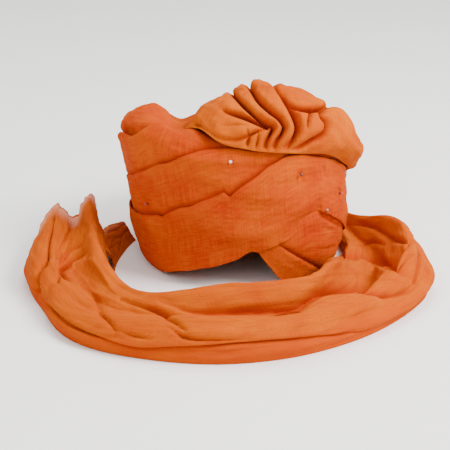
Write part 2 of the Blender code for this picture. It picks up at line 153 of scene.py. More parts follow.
def smooth(x, table, column=1):
    """Value of a table's column at x, on a cubic through its rows with slopes from the neighbours."""
    keys = np.array([row[0] for row in table], dtype=float)
    values = np.array([row[column] for row in table], dtype=float)
    slopes = np.gradient(values, keys)
    x = np.clip(np.asarray(x, dtype=float), keys[0], keys[-1])
    i = np.clip(np.searchsorted(keys, x, side="right") - 1, 0, len(keys) - 2)
    step = keys[i + 1] - keys[i]
    t = (x - keys[i]) / step
    return ((1 + 2 * t) * (1 - t) ** 2 * values[i] + t * (1 - t) ** 2 * step * slopes[i]
            + t * t * (3 - 2 * t) * values[i + 1] + t * t * (t - 1) * step * slopes[i + 1])


def straight(x, table, column=1):
    """Value of a table's column at x, on straight lines between its rows."""
    return np.interp(x, [row[0] for row in table], [row[column] for row in table])


def ramp(x, start, end):
    """0 before start, 1 after end, and an even S between them."""
    t = np.clip((np.asarray(x, dtype=float) - start) / (end - start), 0.0, 1.0)
    return t * t * (3 - 2 * t)


def outline(degrees):
    """Place on a rounded box round the turban, as shares of its half width and half depth: the two shares,
    each raised to the power CORNER_SQUARENESS, add up to 1."""
    sine = np.sin(np.radians(degrees))
    cosine = np.cos(np.radians(degrees))
    total = np.abs(sine) ** CORNER_SQUARENESS + np.abs(cosine) ** CORNER_SQUARENESS
    reach = total ** (-1.0 / CORNER_SQUARENESS)
    return sine * reach, -cosine * reach


def turban_point(degrees, step, offset):
    """Point of the turban's surface at an angle and a height step, pushed out by an offset: the outline times
    the profile, less the drop of the crown towards the back and the valley behind the hump."""
    sine, cosine = outline(degrees)
    pile = np.radians(smooth(step, PILE_UP))
    size = smooth(step, PROFILE, 1)
    out = np.asarray(offset) * np.cos(pile)
    x = sine * (HALF_WIDTH * size + out) + HALF_WIDTH * smooth(step, PROFILE, 3)
    y = cosine * (HALF_DEPTH * size + out)
    drop = smooth(degrees, CROWN_DROP) * smooth(step, DROP_REACH)
    z = WALL_HEIGHT * (smooth(step, PROFILE, 2) - drop) + np.asarray(offset) * np.sin(pile)
    valley = np.exp(-((x - VALLEY_PLACE - VALLEY_LEAN * y) / VALLEY_WIDTH) ** 2)
    z = z - VALLEY_DEPTH * valley * ramp(step, 1.02, 1.14)
    return np.stack(np.broadcast_arrays(x, y, z), axis=-1)


def waves(u, v, seed, length, stretch, count=7):
    """Soft relief round 0: the sum of sine waves in slightly different directions, stretched along u, over
    the root of their number."""
    chance = np.random.default_rng(seed)
    total = 0.0
    for _ in range(count):
        turn = chance.normal(0.0, 0.5)
        pitch = length * chance.uniform(0.7, 1.5)
        along = np.sin(turn) / stretch * 2.2
        start = chance.uniform(0, 2 * np.pi)
        total = total + np.sin(2 * np.pi * (u * along + v * np.cos(turn)) / pitch + start)
    return total / np.sqrt(count)


def crumple(u, v, seed, length, stretch):
    """Wrinkles from -0.9 to 0.7 with sharp valleys, which lie where two soft reliefs change sign."""
    first = waves(u, v, seed, length, stretch)
    second = waves(u, v, seed + 50, length * 0.7, stretch)
    return np.tanh(2.2 * np.abs(first)) + 0.6 * np.tanh(2.2 * np.abs(second)) - 0.9


def pinch(degrees, step, path, width):
    """1 on a line over the turban through (degrees, step) points, fading to 0 a few widths from it."""
    u = np.asarray(degrees) * DEGREE_LENGTH
    v = np.asarray(step) * STEP_LENGTH
    nearest = np.full(np.broadcast(u, v).shape, 1.0)
    for start, end in zip(path[:-1], path[1:]):
        a = np.array([start[0] * DEGREE_LENGTH, start[1] * STEP_LENGTH])
        b = np.array([end[0] * DEGREE_LENGTH, end[1] * STEP_LENGTH])
        forward = (u - a[0]) * (b[0] - a[0]) + (v - a[1]) * (b[1] - a[1])
        t = np.clip(forward / np.sum((b - a) ** 2), 0.0, 1.0)
        reach = np.hypot(u - a[0] - t * (b[0] - a[0]), v - a[1] - t * (b[1] - a[1]))
        nearest = np.minimum(nearest, reach)
    return np.exp(-(nearest / width) ** 2)


def spans(points):
    """Mean length of a grid's columns and of its rows, in metres."""
    across = np.linalg.norm(np.diff(points, axis=0), axis=2).sum(axis=0).mean()
    along = np.linalg.norm(np.diff(points, axis=1), axis=2).sum(axis=1).mean()
    return float(across), float(along)


def cloth_piece(name, points, material, closed=False, flip=False, sheer=None, deep=None):
    """Smooth surface through a grid of points, with thread coordinates in metres along rows and columns.
    The sheer share and the deep share, which is painted shade, from 0 to 1 at each point, go to the material."""
    rows, columns = points.shape[:2]
    across, along = spans(points)
    ring = columns if closed else columns - 1
    i, j = np.meshgrid(np.arange(rows - 1), np.arange(ring), indexing="ij")
    k = (j + 1) % columns
    this_row = i * columns
    next_row = (i + 1) * columns
    quads = np.stack([this_row + j, this_row + k, next_row + k, next_row + j], axis=-1)
    u = np.stack([j, j + 1, j + 1, j], axis=-1) * along / max(ring, 1)
    v = np.stack([i, i, i + 1, i + 1], axis=-1) * across / (rows - 1)
    if flip:
        quads = quads[..., ::-1]
        u = u[..., ::-1]
        v = v[..., ::-1]
    mesh = bpy.data.meshes.new(name)
    mesh.from_pydata(points.reshape(-1, 3), [], quads.reshape(-1, 4))
    threads = mesh.uv_layers.new(name="threads")
    threads.data.foreach_set("uv", np.stack([u, v], axis=-1).reshape(-1))
    for kind, values in (("sheer", sheer), ("deep", deep)):
        if values is not None:
            held = mesh.attributes.new(kind, "FLOAT", "POINT")
            held.data.foreach_set("value", np.ascontiguousarray(values, dtype=np.float32).reshape(-1))
    mesh.materials.append(material)
    mesh.shade_smooth()
    piece = bpy.data.objects.new(name, mesh)
    bpy.context.scene.collection.objects.link(piece)
    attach(piece, "root")
    return piece


def muslin(name, light, dark, depths, sheer=False):
    """Dyed muslin: uneven threads both ways, broad stains of dye, a soft nap, painted shade in its folds, a
    darker, redder colour that stands in for shade and for light passing through layer after layer, and, where
    it is sheer, thin places that let light by."""
    made = bpy.data.materials.new(name)
    made.use_nodes = True
    nodes = made.node_tree.nodes
    links = made.node_tree.links
    shader = nodes["Principled BSDF"]
    shader.inputs["Roughness"].default_value = 0.95
    shader.inputs["Specular IOR Level"].default_value = 0.04
    shader.inputs["Sheen Weight"].default_value = 0.04
    shader.inputs["Sheen Roughness"].default_value = 0.45
    shader.inputs["Sheen Tint"].default_value = (1.0, 0.36, 0.06, 1.0)

    def noise(vector, scale, detail, stretch):
        """Noise over a vector whose three parts are multiplied by stretch."""
        spread = nodes.new("ShaderNodeMapping")
        spread.inputs["Scale"].default_value = stretch
        links.new(vector, spread.inputs["Vector"])
        grain = nodes.new("ShaderNodeTexNoise")
        grain.inputs["Scale"].default_value = scale
        grain.inputs["Detail"].default_value = detail
        links.new(spread.outputs["Vector"], grain.inputs["Vector"])
        return grain.outputs["Fac"]

    def combine(kind, first, second):
        """Two values, each a number or a socket, joined by one operation."""
        joined = nodes.new("ShaderNodeMath")
        joined.operation = kind
        for socket, value in zip(joined.inputs, (first, second)):
            if isinstance(value, float):
                socket.default_value = value
            else:
                links.new(value, socket)
        return joined.outputs["Value"]

    place = nodes.new("ShaderNodeTexCoord")
    threads = nodes.new("ShaderNodeUVMap")
    threads.uv_map = "threads"
    warp = noise(threads.outputs["UV"], 1.0, 1.0, (45.0, 850.0, 1.0))
    weft = noise(threads.outputs["UV"], 1.0, 1.0, (850.0, 45.0, 1.0))
    fine = noise(threads.outputs["UV"], 2600.0, 0.0, (1.0, 1.0, 1.0))
    stain = noise(place.outputs["Object"], 26.0, 3.0, (1.0, 1.0, 1.0))
    weave = combine("ADD", warp, weft)
    shade = combine("ADD", combine("MULTIPLY", weave, 0.55), combine("MULTIPLY", stain, 0.9))
    range_of_shade = nodes.new("ShaderNodeMapRange")
    range_of_shade.inputs["From Min"].default_value = 0.72
    range_of_shade.inputs["From Max"].default_value = 1.42
    links.new(shade, range_of_shade.inputs["Value"])
    dye = nodes.new("ShaderNodeMix")
    dye.data_type = "RGBA"
    dye.inputs["A"].default_value = dark
    dye.inputs["B"].default_value = light
    links.new(range_of_shade.outputs["Result"], dye.inputs["Factor"])
    # Painted shade: the deep share mixes the colour towards depths, a darker, redder orange, in folds, at
    # hems and under the turn over it
    folded = nodes.new("ShaderNodeAttribute")
    folded.attribute_name = "deep"
    painted_fold_shade = nodes.new("ShaderNodeMix")
    painted_fold_shade.data_type = "RGBA"
    painted_fold_shade.inputs["B"].default_value = depths
    links.new(folded.outputs["Fac"], painted_fold_shade.inputs["Factor"])
    links.new(dye.outputs["Result"], painted_fold_shade.inputs["A"])
    links.new(painted_fold_shade.outputs["Result"], shader.inputs["Base Color"])
    relief = nodes.new("ShaderNodeBump")
    relief.inputs["Strength"].default_value = 0.5
    relief.inputs["Distance"].default_value = 0.0006
    links.new(combine("ADD", weave, combine("MULTIPLY", fine, 0.5)), relief.inputs["Height"])
    links.new(relief.outputs["Normal"], shader.inputs["Normal"])
    if sheer:
        thin = nodes.new("ShaderNodeAttribute")
        thin.attribute_name = "sheer"
        pale = nodes.new("ShaderNodeMix")
        pale.data_type = "RGBA"
        pale.inputs["B"].default_value = (0.62, 0.17, 0.03, 1.0)
        links.new(combine("MULTIPLY", thin.outputs["Fac"], 4.0), pale.inputs["Factor"])
        links.new(painted_fold_shade.outputs["Result"], pale.inputs["A"])
        links.new(pale.outputs["Result"], shader.inputs["Base Color"])
        gaps = combine("MULTIPLY", thin.outputs["Fac"], combine("ADD", combine("MULTIPLY", weave, -0.5), 1.1))
        links.new(combine("SUBTRACT", 1.0, gaps), shader.inputs["Alpha"])
    return made


core_cloth = muslin("core_cloth", (0.40, 0.066, 0.0003, 1.0), (0.26, 0.022, 0.0001, 1.0),
                    (0.30, 0.012, 0.0001, 1.0))
core_turn = np.arange(COLUMNS) * 360.0 / COLUMNS - 180.0
core_foot = smooth(core_turn, FOOT_EDGE)
core_steps = np.linspace(2.0, 0.0, CORE_ROWS)[:, None]
crown_spot = turban_point(core_turn[None, :], core_steps, 0.0)
core_relief = 0.0011 * waves(crown_spot[..., 0], crown_spot[..., 1], 3, 0.035, 2.0) - 0.0008
core_outer = turban_point(core_turn[None, :], np.maximum(core_steps, core_foot[None, :]), core_relief)
core_outer[0] = core_outer[0].mean(axis=0)
foot_height = WALL_HEIGHT * smooth(core_foot, PROFILE, 2)
layers = np.linspace(0.0, 1.0, RIM_ROWS + 2)[1:-1, None]
hollow_share = np.linspace(0.0, 1.0, HOLLOW_ROWS)[:, None]
sine, cosine = outline(core_turn)
hollow_relief = 0.006 * waves(core_turn[None, :] * 0.002, hollow_share * 0.13, 4, 0.02, 4.0)
hollow_size = smooth(hollow_share, HOLLOW) * (1.0 + hollow_relief)
hollow_size[-1] = 0.0
hollow_height = np.maximum(HEAD_DEPTH * hollow_share, foot_height[None, :])
core_inner = np.stack([HEAD_HALF_WIDTH * hollow_size * sine, HEAD_HALF_DEPTH * hollow_size * cosine,
                       hollow_height], axis=-1)
core_rim = core_outer[-1][None] * (1 - layers[..., None]) + core_inner[0][None] * layers[..., None]
rim_relief = RIM_RELIEF * np.abs(np.sin(layers * np.pi * RIM_LAYERS))
core_rim[..., 2] += rim_relief * np.ones_like(core_turn)[None, :]
core_points = np.concatenate([core_outer, core_rim, core_inner])
core = cloth_piece("core_of_turns", core_points, core_cloth, closed=True, flip=True)
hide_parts("wound_core")

# Turns: four broad bands of muslin folded to hems, wound one over the other from the crown down to the foot.
# Each is laid in place and held by the next one over it.
# Lower edge of the front one: degrees round, height step
FRONT_WRAP_LOW = [
    (-180, 0), (-90, 0.0), (-66, 0.0), (-56, 0.01), (-44, 0.06), (-36, 0.095), (-27, 0.135), (-18, 0.180),
    (-9, 0.230), (1, 0.275), (12, 0.33), (22, 0.385), (30, 0.45), (36, 0.485), (48, 0.40), (62, 0.28),
    (78, 0.12), (92, 0.0), (180, 0),
]
# Top hems of the front, the middle and the upper turn. What was read off the photograph is in rows of
# (right, up) in millimetres in its plane. The rest, on the left and the right of that, is in rows of
# (degrees round, height step).
FRONT_HEM = [
    (-105, 34), (-94, 33), (-87, 33), (-81.5, 31), (-78, 33.5), (-67, 38), (-52, 42), (-36, 49), (-23, 53.5),
    (-16, 55.5), (-12.5, 51.5), (-6, 57), (6, 66), (20, 76.5), (31, 84), (42, 90), (52, 94),
]
FRONT_HEM_LEFT = [(-180, 0.40), (-130, 0.33), (-100, 0.32)]
FRONT_HEM_RIGHT = [(32, 0.87), (48, 0.80), (62, 0.72), (90, 0.60), (130, 0.48), (180, 0.40)]
MIDDLE_HEM = [(-105, 78), (-90, 84), (-73.5, 89), (-57, 95.5), (-42, 101), (-29, 103), (-12.5, 104)]
MIDDLE_HEM_LEFT = [(-180, 0.74), (-140, 0.62), (-97, 0.54), (-82, 0.60)]
MIDDLE_HEM_RIGHT = [(6, 0.925), (30, 0.90), (60, 0.86), (100, 0.80), (140, 0.77), (180, 0.74)]
UPPER_HEM = [
    (-105, 120), (-98, 124), (-92, 127), (-84, 128), (-72, 129), (-58, 127), (-47, 122), (-36, 116),
    (-23, 109),
]
UPPER_HEM_LEFT = [(-180, 0.93), (-140, 0.84), (-112, 0.79), (-96, 0.81), (-80, 0.89)]
UPPER_HEM_RIGHT = [(0, 0.975), (60, 0.975), (110, 0.96), (180, 0.93)]
CROWN_WRAP_TOP = [(-180, 1.28), (-90, 1.34), (0, 1.34), (90, 1.30), (180, 1.28)]
TURN_LAP = 0.16               # how far a turn runs down behind the next one, in height steps
BODY_ROWS = 64
MILLIMETRE = 0.001
# Hem: distance from the edge and depth below the face, in millimetres, from behind round to the face
HEM = [
    (7.0, 2.0), (3.5, 2.0), (1.4, 1.9), (0.5, 1.6), (0.1, 1.2), (0.0, 0.9), (0.15, 0.45), (0.55, 0.15),
    (1.2, 0.03),
]
PUFF_HEIGHT = 0.0011          # how far a turn swells near its top hem
PUFF_PLACE = 0.006            # and how far below the hem
PUFF_WIDTH = 0.007
COVER_PRESS = 0.0005          # how far a turn is pressed in under the next one
CROWN_PRESS = 0.0032          # and the crown turn just above the upper turn's hem
NOTCH_SINK = 0.0046           # how far the front turn sinks into the lobe beside the notch
FOLD_SHADE = (0.0005, 0.0045)  # depths of a fold at which its painted shade starts and is full
LOWEST = 0.0002               # height of the lowest cloth above the floor
# The middle of the photograph in its own plane, millimetres to the right of the origin and above it
PHOTO_MIDDLE = (-15.75, 22.05)
# Angles and height steps among which a hem read off the photograph finds its place
HEM_DEGREES = np.arange(-104.0, 40.0, 0.5)
HEM_STEPS = np.arange(0.20, 1.12, 0.0025)
# Small creases at the pins: path of (degrees, step), width and depth in metres
CREASES = [
    ([(52, 0.60), (57, 0.55)], 0.0020, 0.0012),
    ([(59, 0.71), (63, 0.64)], 0.0020, 0.0012),
    ([(-7, 0.905), (-6, 0.86)], 0.0022, 0.0009),
    ([(-58, 0.55), (-54, 0.51)], 0.0018, 0.0014),
]
turn_cloth = muslin("turn_cloth", (0.51, 0.092, 0.0003, 1.0), (0.36, 0.020, 0.0001, 1.0),
                    (0.32, 0.014, 0.0001, 1.0))


def seen(points):
    """Place of points in the photograph's plane: millimetres to the right of the origin and above it."""
    sideways = np.array([np.cos(CAMERA_AZIMUTH), np.sin(CAMERA_AZIMUTH), 0.0])
    upward = np.cross(away, sideways)
    arm = points - (np.array(CAMERA_TARGET) + CAMERA_DISTANCE * away)
    depth = -arm @ away
    scale = 1000.0 * CAMERA_DISTANCE
    right = scale * (arm @ sideways) / depth + PHOTO_MIDDLE[0]
    up = scale * (arm @ upward) / depth + PHOTO_MIDDLE[1]
    return right, up


def traced(hem, layer):
    """Rows of (degrees, step) on a turn's surface, each nearest to one (right, up) row of a hem in the
    photograph's plane."""
    degrees, steps = np.meshgrid(HEM_DEGREES, HEM_STEPS)
    x, y = seen(turban_point(degrees, steps, layer * TURN))
    rows = []
    for right, up in hem:
        nearest = np.argmin((x - right) ** 2 + (y - up) ** 2)
        rows.append((float(degrees.flat[nearest]), float(steps.flat[nearest])))
    return rows


def curve(path, parts=7):
    """A smooth line through the rows of a path, with parts pieces between its rows."""
    rows = np.array(path, dtype=float)
    keyed = [(float(i),) + tuple(row) for i, row in enumerate(rows)]
    t = np.linspace(0.0, len(rows) - 1.0, (len(rows) - 1) * parts + 1)
    return np.stack([smooth(t, keyed, column) for column in range(1, rows.shape[1] + 1)], axis=1)


def groove(x, y, path, left_width, right_width):
    """Depth of a fold drawn in the photograph's plane through (right, up, depth) rows, in its own units.
    It is a sharp slit inside a wider hollow, each as wide as left_width or right_width says on that side."""
    line = curve(path)
    near = np.full(x.shape, 1e9)
    side = np.ones(x.shape)
    deep = np.zeros(x.shape)
    for a, b in zip(line[:-1], line[1:]):
        forward = (x - a[0]) * (b[0] - a[0]) + (y - a[1]) * (b[1] - a[1])
        t = np.clip(forward / np.sum((b[:2] - a[:2]) ** 2), 0.0, 1.0)
        dx = x - a[0] - t * (b[0] - a[0])
        dy = y - a[1] - t * (b[1] - a[1])
        reach = np.hypot(dx, dy)
        closer = reach < near
        near = np.where(closer, reach, near)
        side = np.where(closer, np.sign((b[0] - a[0]) * dy - (b[1] - a[1]) * dx), side)
        deep = np.where(closer, a[2] * (1 - t) + b[2] * t, deep)
    width = np.where(side > 0, left_width, right_width)
    return deep * (0.45 * np.exp(-(near / (0.35 * width)) ** 1.6) + 0.55 * np.exp(-(near / width) ** 1.6))


def push_out(points, amount):
    """A grid of points moved along its own normals, which point out of the cloth's face."""
    normal = np.cross(np.gradient(points, axis=1), np.gradient(points, axis=0))
    normal /= np.linalg.norm(normal, axis=2)[:, :, None] + 1e-12
    return points + normal * np.asarray(amount)[..., None]


def drawn_folds(points, folds):
    """How deep the folds drawn in the photograph's plane cut each point of a surface, in metres."""
    x, y = seen(points)
    cut = np.zeros(x.shape)
    for path, left_width, right_width in folds:
        one = MILLIMETRE * groove(x, y, path, left_width, right_width)
        larger = np.where(np.abs(one) > np.abs(cut), one, cut)
        smaller = np.where(np.abs(one) > np.abs(cut), cut, one)
        cut = larger + 0.3 * smaller
    return cut


# Folds of the turns in the photograph's plane: rows of (right, up, depth) in millimetres, then the widths of
# the hollow on the left and on the right of the line
TURN_FOLDS = [
    ([(42, 0, 2.0), (55, -8, 4.0), (71, -17, 4.5), (84, -24, 3.0)], 3.2, 1.6),
    ([(83, 33, 1.0), (92, 28, 3.6), (101, 22.6, 3.0), (108, 18, 1.0)], 2.6, 1.6),
    ([(91, 17.6, 1.6), (97, 16.8, 2.0)], 3.0, 3.0),
    ([(84, -4, 1.0), (92, -3, 1.8), (99, -1, 1.0)], 2.4, 2.4),
    ([(101, 8, 0.6), (104, 2, 1.4), (103, -6, 0.8)], 2.0, 2.0),
    ([(63, 76, 1.6), (65, 72, 2.2), (67, 67, 1.0)], 1.6, 1.6),
    ([(88, 84, 1.0), (89, 77, 1.6), (90, 70, 0.6)], 2.0, 2.4),
]


def turn_relief(degrees, step, seed):
    """Height of a turn's folds: broad soft ones, finer wrinkles along the band, and the pressed creases."""
    u = np.asarray(degrees) * DEGREE_LENGTH
    v = np.asarray(step) * STEP_LENGTH
    height = 0.0010 * waves(u, v, 11, 0.055, 1.6)
    height = height + 0.00035 * waves(u, v, seed, 0.016, 4.0) + 0.00018 * waves(u, v, seed + 1, 0.007, 3.0)
    left = ramp(degrees, -112.0, -94.0) * (1.0 - ramp(degrees, -84.0, -68.0)) * ramp(step, 0.6, 0.8)
    height = height + 0.0006 * left * waves(v, u, seed + 2, 0.010, 4.0)
    for path, width, depth in CREASES:
        line = pinch(degrees, step, path, width)
        height = height - depth * line + 0.35 * depth * pinch(degrees, step, path, 3.0 * width)
    return height


def add_turn(name, low_edge, top_edge, layer, seed, node, cover=None):
    """One turn: a face between two hemmed edges, puffed near its top hem and pressed in where the next turn,
    whose top hem is cover, lies over it."""
    degrees = np.arange(COLUMNS) * 360.0 / COLUMNS - 180.0
    u = degrees * DEGREE_LENGTH
    low = low_edge(degrees) + 0.006 * waves(u, 0.0 * u, seed, 0.05, 1.0)
    low = np.maximum(low, smooth(degrees, FOOT_EDGE) if layer > 1 else low)
    top = top_edge(degrees) + 0.005 * waves(u, 0.0 * u, seed + 3, 0.045, 1.0)
    hem = np.array(HEM) * MILLIMETRE
    rows = [low + far / STEP_LENGTH for far, _ in hem]
    depths = [np.full_like(low, depth) for _, depth in hem]
    first = low + hem[-1][0] / STEP_LENGTH
    last = np.maximum(top - hem[-1][0] / STEP_LENGTH, first + 0.004)
    for share in np.linspace(0.0, 1.0, BODY_ROWS)[1:-1]:
        rows.append(first * (1 - share) + last * share)
        depths.append(np.zeros_like(low))
    for far, depth in hem[::-1]:
        rows.append(np.maximum(top, last) - far / STEP_LENGTH)
        depths.append(np.full_like(low, depth))
    steps = np.stack(rows)
    depth = np.stack(depths)
    from_top = (top[None, :] - steps) * STEP_LENGTH
    tight = 1.0 - ramp(degrees, -72.0, -48.0) * (1.0 - ramp(degrees, 66.0, 92.0))
    if node == "upper_wrap":
        tight = tight * ramp(degrees, -10.0, 20.0)
    puff = PUFF_HEIGHT * np.exp(-((from_top - PUFF_PLACE) / PUFF_WIDTH) ** 2) * (1.0 - 0.8 * tight)
    puff = puff - PUFF_HEIGHT * tight * np.exp(-(from_top / PUFF_WIDTH) ** 2)
    relief = turn_relief(degrees[None, :], steps, seed) + puff
    if cover is not None:
        above = (steps - cover(degrees)[None, :]) * STEP_LENGTH
        relief = relief * (0.35 + 0.65 * ramp(above, -0.004, 0.008))
        relief = relief - COVER_PRESS * (1.0 - ramp(above, 0.0, 0.010))
    if node == "crown_wrap":
        beside_hem = np.exp(-((above - 0.003) / 0.006) ** 2)
        relief = relief - CROWN_PRESS * beside_hem * (1.0 - ramp(degrees, 10.0, 40.0))
    offset = layer * TURN - depth + relief
    if node == "front_wrap":
        above_low = (steps - low[None, :]) * STEP_LENGTH
        merged = ramp(degrees, 15.0, 27.0) * (1.0 - ramp(degrees, 36.0, 39.0))
        sunk = NOTCH_SINK * merged[None, :] * (1.0 - ramp(above_low, 0.0, 0.026))
        offset = offset - sunk
    points = turban_point(degrees[None, :], steps, offset)
    # Painted shade: darker along the rolled top hem
    deep = 0.6 * (1.0 - ramp(from_top + 0.0 * steps, 0.0, 0.0016))
    if node == "front_wrap":
        cut = drawn_folds(points, TURN_FOLDS) * ramp(points[..., 1], -0.02, -0.06)
        points = push_out(points, -cut)
        # painted shade in the drawn folds
        deep = deep + ramp(cut, *FOLD_SHADE)
    # painted shade just under the hem of the turn over it, wider on the crown turn
    if cover is not None:
        shade_reach = 0.016 if node == "crown_wrap" else 0.006
        deep = deep + 0.7 * (1.0 - ramp(above, -0.001, shade_reach))
    points[..., 2] = np.maximum(points[..., 2], LOWEST)
    turn = cloth_piece(name, points, turn_cloth, closed=True, deep=np.clip(deep, 0.0, 1.0))
    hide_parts(node)


def edge_of(table, shift=0.0):
    """An edge of a turn as a function of the angle round the turban."""
    return lambda degrees: smooth(degrees, table) + shift


front_wrap_top = FRONT_HEM_LEFT + traced(FRONT_HEM, 4) + FRONT_HEM_RIGHT
middle_wrap_top = MIDDLE_HEM_LEFT + traced(MIDDLE_HEM, 3) + MIDDLE_HEM_RIGHT
upper_wrap_top = UPPER_HEM_LEFT + traced(UPPER_HEM, 2) + UPPER_HEM_RIGHT
front_top = edge_of(front_wrap_top)
middle_top = edge_of(middle_wrap_top)
upper_top = edge_of(upper_wrap_top)
add_turn("crown_turn", edge_of(upper_wrap_top, -TURN_LAP), edge_of(CROWN_WRAP_TOP), 1, 21, "crown_wrap",
         upper_top)
add_turn("upper_turn", edge_of(middle_wrap_top, -TURN_LAP), upper_top, 2, 31, "upper_wrap", middle_top)
add_turn("middle_turn", edge_of(front_wrap_top, -TURN_LAP), middle_top, 3, 41, "middle_wrap", front_top)
add_turn("front_turn", edge_of(FRONT_WRAP_LOW), front_top, 4, 51, "front_wrap")

# Right lobe: two more turns of the same muslin, laid under the front one. They come down behind it and close
# the notch over the forehead.
# Their top edges: degrees round, height step
LOBE_WRAP_TOP = [(-3, 0.36), (10, 0.42), (30, 0.56), (60, 0.50), (84, 0.34)]
LOW_WRAP_TOP = [(-3, 0.34), (12, 0.345), (19, 0.255), (25, 0.20), (36, 0.10), (46, 0.045)]
LOBE_COLUMNS = 170
LOBE_LENGTH = 0.15            # of a lobe turn round the turban, roughly
TUCK_DEPTH = 0.0019           # of the cloth behind the edge of a lobe turn
EDGE_ROUND = 0.0016           # depth and width of its rounded edge
SWELL_REACH = 0.022           # from the edge to the full swell


def add_lobe(name, table, layer, swell, seed, node):
    """A turn of the right lobe: a face from the foot to its own top edge, swollen in its middle."""
    degrees = np.linspace(table[0][0], table[-1][0], LOBE_COLUMNS)
    low = smooth(degrees, FOOT_EDGE)
    top = smooth(degrees, table)
    share = np.concatenate([np.linspace(-0.05, 0.04, 8), np.linspace(0.05, 0.95, 56),
                            np.linspace(0.96, 1.05, 8)])
    inside = np.clip(share, 0.0, 1.0)[:, None]
    steps = low[None, :] * (1 - inside) + top[None, :] * inside
    along = (degrees - degrees[0]) / (degrees[-1] - degrees[0])
    to_edge = np.minimum(share, 1 - share)[:, None] * np.maximum(top - low, 0.05)[None, :] * STEP_LENGTH
    to_end = np.minimum(along, 1 - along)[None, :] * LOBE_LENGTH
    edge = np.minimum(to_edge, to_end)
    depth = np.where(edge < 0, TUCK_DEPTH, EDGE_ROUND * (1 - ramp(edge, 0.0, EDGE_ROUND)))
    bulge = swell * ramp(edge, 0.0, SWELL_REACH)
    relief = 0.6 * turn_relief(degrees[None, :], steps, seed)
    offset = layer * TURN - depth + bulge + relief
    points = turban_point(degrees[None, :], steps, offset)
    cut = drawn_folds(points, TURN_FOLDS)
    points = push_out(points, -cut)
    points[..., 2] = np.maximum(points[..., 2], LOWEST)
    # The deep share is painted shade in the drawn folds.
    lobe = cloth_piece(name, points, turn_cloth, deep=ramp(cut, *FOLD_SHADE))
    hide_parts(node)


add_lobe("lobe_turn", LOBE_WRAP_TOP, 2, 0.0040, 61, "right_lobe_wrap")
add_lobe("low_turn", LOW_WRAP_TOP, 3, 0.0016, 71, "right_low_wrap")

# Crest: one length of muslin pinched into an arrow of pleats over the right of the forehead and gathered by
# stitches beneath: a flat flap on the left, three narrow pleats, a broad fold and a soft roll on the right.
CREST_HEIGHT = 0.042
PLEAT_FULLNESS = 0.93         # share of that height that the pleats reach
# Front edge, then back edge of the crest: degrees round, height step
CREST_FRONT = [
    (-52, 1.12), (-37, 1.10), (-24, 1.05), (-12, 0.965), (2, 0.93), (22, 0.90), (40, 0.86), (62, 0.72),
    (80, 0.60), (92, 0.61), (98, 0.70),
]
CREST_BACK = [
    (-52, 1.24), (-33, 1.30), (-10, 1.50), (20, 1.54), (44, 1.38), (62, 1.12), (80, 0.98), (92, 0.85),
    (98, 0.73),
]
# Degrees round, height share
CREST_RISE = [
    (-52, 0.16), (-37, 0.26), (-20, 0.46), (-5, 0.66), (8, 0.81), (24, 0.89), (40, 0.71), (60, 0.45),
    (80, 0.32), (98, 0.16),
]
# Height step, turns of cloth that the crest sits on
CREST_SEAT = [(0.70, 4), (0.985, 4), (1.06, 2), (1.13, 2), (1.20, 1), (2.00, 1)]
# Share of the way from the front edge to the back edge, height share, turn of the pleats in degrees
CREST_SECTIONS = [
    (0.00, 0.10, -9.0), (0.08, 0.46, -7.0), (0.18, 0.74, -4.0), (0.28, 0.90, -0.5), (0.33, 0.94, 0.5),
    (0.46, 1.00, -6.0), (0.64, 0.98, -14.0), (0.82, 0.76, -19.0), (0.94, 0.42, -21.0), (1.00, 0.10, -22.0),
]
# Name, node, left and right edge in degrees at the bend, bend share left and right, dip left and right,
# columns across
CREST_PLEATS = [
    ("flap_pleat", "crest_flap", -33, 5, 0.2, 1.0, 0.95, 0.0, 150),
    ("first_pleat", "crest_pleat_1", 5, 13, 1.0, 1.0, 0.0, 0.0, 60),
    ("second_pleat", "crest_pleat_2", 13, 19, 1.0, 1.0, 0.0, 0.0, 50),
    ("third_pleat", "crest_pleat_3", 19, 26, 1.0, 0.9, 0.0, 0.0, 56),
    ("broad_fold", "crest_fold", 26, 40, 0.9, 0.6, 0.0, 0.0, 90),
    ("side_roll", "crest_roll", 40, 98, 0.6, 0.0, 0.0, 1.00, 190),
]
PLEAT_ROWS = 170
SEAT_GAP = 0.0009             # between the crest's edges and the turns
BACK_PRESS = 0.0050           # how far the crest's back edge is pressed down on the right
BACK_EASE = 0.0026            # and how much less at its very end
END_PRESS = 0.0022            # how far its end is pressed down
SOFT_FROM = 0.004             # height above its seat from which a pleat has its full soft relief
PLEAT_LOWEST = 0.0004         # height of a pleat's edges above its seat
FOLD_GAIN = 2.5               # the crest's folds are cut deeper than they are drawn, since it is soft
CREST_MIDDLE = np.array([0.012, -0.062, 0.120])   # the point that they sink towards
crest_cloth = muslin("crest_cloth", (0.54, 0.120, 0.0003, 1.0), (0.40, 0.050, 0.0001, 1.0),
                     (0.36, 0.020, 0.0001, 1.0))


def crest_point(degrees, share, height):
    """Point of the crest: share of the way from its front edge to its back edge, height above its seat.
    On the right its back edge and its end are pressed down on the turns, which are fewer there."""
    front = smooth(degrees, CREST_FRONT)
    back = smooth(degrees, CREST_BACK)
    step = front + (back - front) * share
    seat = straight(step, CREST_SEAT) * TURN + SEAT_GAP
    back_edge = ramp(share, 0.75, 1.0)
    press = back_edge * ramp(degrees, 60.0, 78.0) * (BACK_PRESS - BACK_EASE * ramp(degrees, 92.0, 98.0))
    press = press + (1.0 - back_edge) * END_PRESS * ramp(degrees, 90.0, 98.0)
    return turban_point(degrees, step, seat + height - press)


